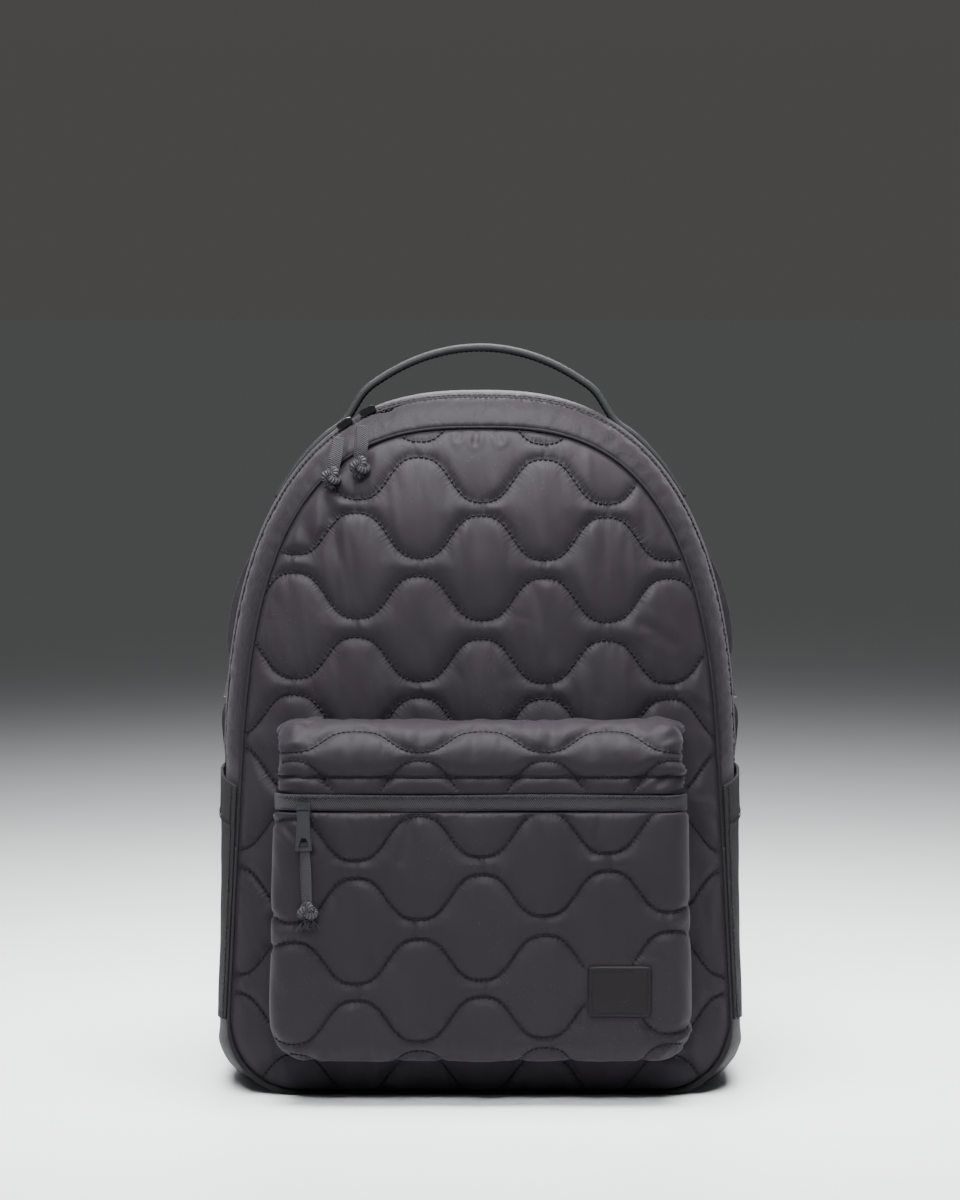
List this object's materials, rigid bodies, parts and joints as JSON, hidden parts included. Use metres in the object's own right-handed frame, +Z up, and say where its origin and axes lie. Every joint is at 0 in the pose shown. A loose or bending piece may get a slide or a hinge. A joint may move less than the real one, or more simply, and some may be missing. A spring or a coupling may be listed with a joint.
{
  "type": "quilted puffer backpack",
  "caption": "Small quilted day pack with a zipped main compartment, a puffed front pocket, side sleeves, a carry handle and two padded shoulder straps.",
  "frame": {"origin": "on the floor, under the middle of the whole pack", "axes": "+Z up, +Y towards the wearer's back, +X to the right of a front view"},
  "size_m": [0.3224, 0.2074, 0.442],
  "materials": {
    "nylon": "satin quilted nylon",
    "canvas": "matte woven canvas",
    "webbing": "matte ribbed webbing",
    "leather": "semi-matte grained leather",
    "mesh": "matte spacer mesh",
    "metal": "dark satin metal",
    "plastic": "matte black plastic"
  },
  "bodies": {
    "root": {"zip_flap": "nylon", "rear_gusset": "nylon", "base_gusset": "nylon", "front_panel": "nylon", "pocket_front": "nylon", "pocket_top": "nylon", "pocket_side": "nylon", "strap_pad_left": "nylon", "strap_pad_right": "nylon", "side_pocket_left": "canvas", "side_pocket_right": "canvas", "main_zip_tape": "webbing", "pocket_band": "webbing", "pocket_zip_tape": "webbing", "front_piping": "webbing", "back_piping": "webbing", "carry_handle": "webbing", "strap_web_left": "webbing", "strap_web_right": "webbing", "main_pull_low": "webbing", "main_pull_high": "webbing", "pocket_pull": "webbing", "leather_patch": "leather", "back_panel": "mesh", "main_slider_low": "metal", "main_slider_high": "metal", "pocket_slider": "metal", "pocket_puller": "metal", "ladder_lock_left": "plastic", "ladder_lock_right": "plastic"}
  },
  "joints": []
}
